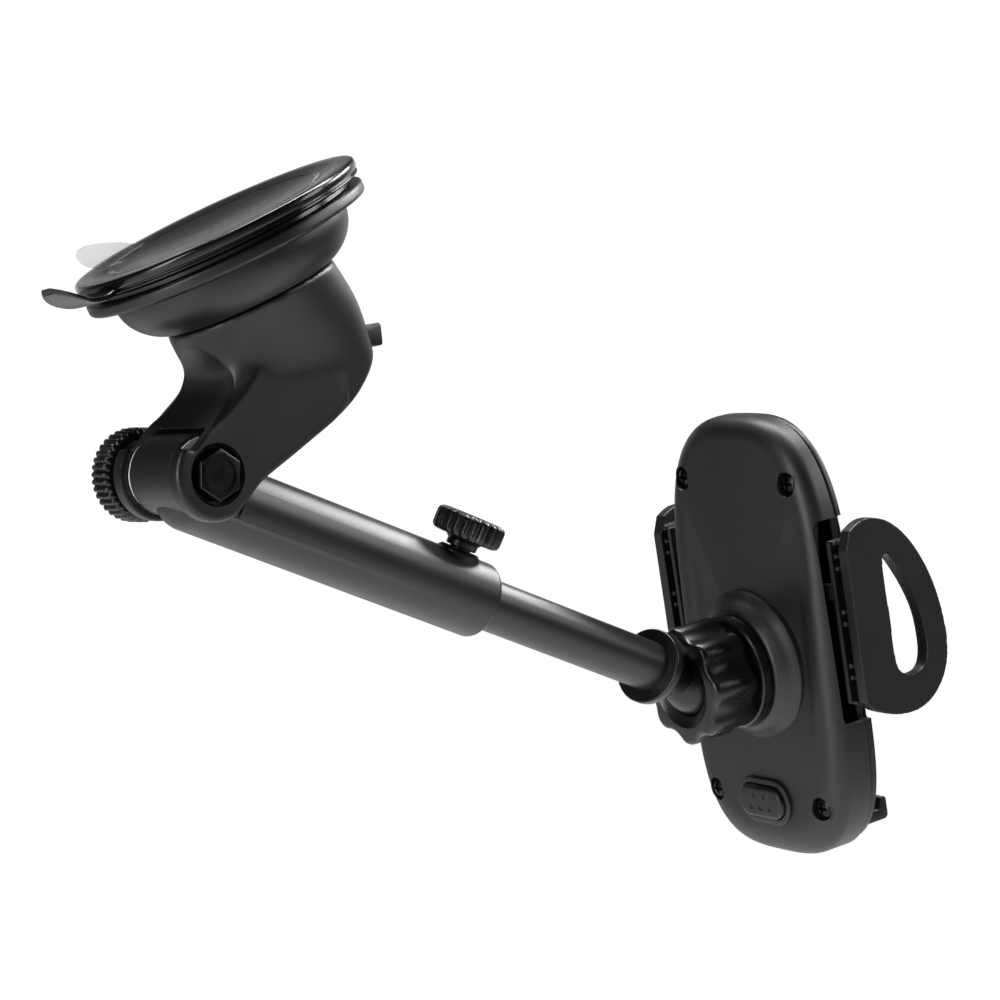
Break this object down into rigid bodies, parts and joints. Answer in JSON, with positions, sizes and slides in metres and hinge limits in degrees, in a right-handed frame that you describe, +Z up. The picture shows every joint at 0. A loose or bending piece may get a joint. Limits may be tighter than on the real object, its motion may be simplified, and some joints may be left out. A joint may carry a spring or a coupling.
{
  "type": "car phone mount",
  "caption": "Windshield and dash phone holder: sticky suction base with lock lever, hinged telescopic arm, ball joint with lock nut, and a spring-latched clamping cradle.",
  "frame": {"origin": "centre of the suction face, in the plane of its rim", "axes": "+Z up, +X from the suction base along the arm to the cradle, +Y along the arm hinge"},
  "size_m": [0.2392, 0.0795, 0.1667],
  "materials": {
    "gel_black": "glossy tacky gel",
    "satin_black_abs": "fine satin grain",
    "dark_grey_tube": "smooth satin",
    "gloss_black_nylon": "semi-gloss moulded",
    "matt_black_rubber": "matt",
    "white_acetal": "smooth",
    "zinc_plated_steel": "plated",
    "black_oxide_steel": "black oxide"
  },
  "bodies": {
    "base": {"suction_pad": "gel_black", "suction_skirt": "satin_black_abs", "base_neck": "satin_black_abs", "hinge_bolt": "black_oxide_steel", "hinge_washer_near": "white_acetal", "hinge_washer_far": "white_acetal", "plunger_spring": "zinc_plated_steel"},
    "plunger": {"suction_plunger": "zinc_plated_steel"},
    "lever": {"lock_lever": "gloss_black_nylon", "lever_pin": "zinc_plated_steel"},
    "thumb_nut": {"hinge_thumb_nut": "gloss_black_nylon"},
    "outer_arm": {"outer_tube": "dark_grey_tube", "guide_bush": "white_acetal"},
    "clamp": {"clamp_screw": "gloss_black_nylon"},
    "inner_arm": {"inner_tube": "dark_grey_tube", "tube_stop_ring": "white_acetal", "ball_stem": "gloss_black_nylon"},
    "liner": {"ball_liner": "white_acetal"},
    "cup": {"pressure_cup": "white_acetal"},
    "cradle": {"ball_socket": "gloss_black_nylon", "socket_retainer": "zinc_plated_steel", "back_cover": "satin_black_abs", "cover_screw_1": "black_oxide_steel", "cover_screw_2": "black_oxide_steel", "cover_screw_3": "black_oxide_steel", "cover_screw_4": "black_oxide_steel", "front_cover": "satin_black_abs", "front_pad": "matt_black_rubber", "rocker_pin": "zinc_plated_steel", "rocker_spring": "zinc_plated_steel", "pinion_spring": "zinc_plated_steel", "support_foot": "satin_black_abs", "foot_pad_left": "matt_black_rubber", "foot_pad_right": "matt_black_rubber"},
    "nut": {"ball_nut": "gloss_black_nylon"},
    "jaw_left": {"left_jaw": "satin_black_abs", "left_jaw_pad": "matt_black_rubber"},
    "jaw_right": {"right_jaw": "satin_black_abs", "right_jaw_pad": "matt_black_rubber"},
    "pinion": {"jaw_pinion": "white_acetal"},
    "button": {"release_button": "satin_black_abs"},
    "latch": {"latch_rocker": "zinc_plated_steel"}
  },
  "joints": [
    {"name": "lever_swing", "type": "hinge", "parent": "base", "child": "lever", "pos_m": [0.01422, -0.00259, -0.02743], "axis": [-0.0385, -0.9965, 0.0743], "range_deg": [0, 33]},
    {"name": "plunger_slide", "type": "slide", "parent": "base", "child": "plunger", "axis": [-0.4586, 0.0837, 0.8847], "range_m": [-0.002, 0], "deforming": ["plunger_spring"]},
    {"name": "arm_hinge", "type": "hinge", "parent": "base", "child": "outer_arm", "pos_m": [-0.0078, -0.0004, -0.0553], "axis": [0, 1, 0], "range_deg": [-25, 110]},
    {"name": "thumb_nut_spin", "type": "hinge", "parent": "base", "child": "thumb_nut", "pos_m": [-0.0078, 0.0176, -0.0553], "axis": [0, 1, 0], "continuous": true},
    {"name": "clamp_screw_spin", "type": "hinge", "parent": "outer_arm", "child": "clamp", "pos_m": [0.06784, -0.00403, -0.06755], "axis": [0.3014, -0.2419, 0.9223], "continuous": true},
    {"name": "telescope_slide", "type": "slide", "parent": "outer_arm", "child": "inner_arm", "axis": [0.9505, 0, -0.3107], "range_m": [-0.043, 0.006]},
    {"name": "ball_pitch", "type": "hinge", "parent": "inner_arm", "child": "liner", "pos_m": [0.1455, 0.00311, -0.10733], "axis": [0.0836, 0.9958, 0.0366], "range_deg": [-2, 55]},
    {"name": "ball_yaw", "type": "hinge", "parent": "liner", "child": "cup", "pos_m": [0.1455, 0.00311, -0.10733], "axis": [-0.2119, -0.0182, 0.9771], "range_deg": [-2, 30]},
    {"name": "ball_roll", "type": "hinge", "parent": "cup", "child": "cradle", "pos_m": [0.1455, 0.00311, -0.10733], "axis": [0.9737, -0.0895, 0.2095], "continuous": true},
    {"name": "ball_nut_spin", "type": "hinge", "parent": "cradle", "child": "nut", "pos_m": [0.1455, 0.00311, -0.10733], "axis": [0.9737, -0.0895, 0.2095], "continuous": true},
    {"name": "left_jaw_slide", "type": "slide", "parent": "cradle", "child": "jaw_left", "axis": [0.0836, 0.9958, 0.0366], "range_m": [-0.0048, 0.014]},
    {"name": "right_jaw_slide", "type": "slide", "parent": "cradle", "child": "jaw_right", "axis": [-0.0836, -0.9958, -0.0366], "range_m": [-0.0048, 0.014]},
    {"name": "pinion_spin", "type": "hinge", "parent": "cradle", "child": "pinion", "pos_m": [0.16691, 0.00069, -0.09045], "axis": [0.9737, -0.0895, 0.2095], "range_deg": [-62, 179]},
    {"name": "button_press", "type": "slide", "parent": "cradle", "child": "button", "axis": [0.9737, -0.0895, 0.2095], "range_m": [0, 0.0011], "stiffness_N_per_m": 300, "springref_m": -0.002},
    {"name": "latch_swing", "type": "hinge", "parent": "cradle", "child": "latch", "pos_m": [0.17112, 0.00131, -0.11715], "axis": [-0.0836, -0.9958, -0.0366], "range_deg": [0, 3.2], "deforming": ["rocker_spring"]}
  ],
  "couplings": [
    {"joint": "lever_swing", "follows": "plunger_slide", "rad_per_m": -287.9},
    {"joint": "right_jaw_slide", "follows": "left_jaw_slide", "ratio": 1},
    {"joint": "pinion_spin", "follows": "left_jaw_slide", "rad_per_m": 222.22},
    {"joint": "latch_swing", "follows": "button_press", "rad_per_m": 49.5}
  ]
}
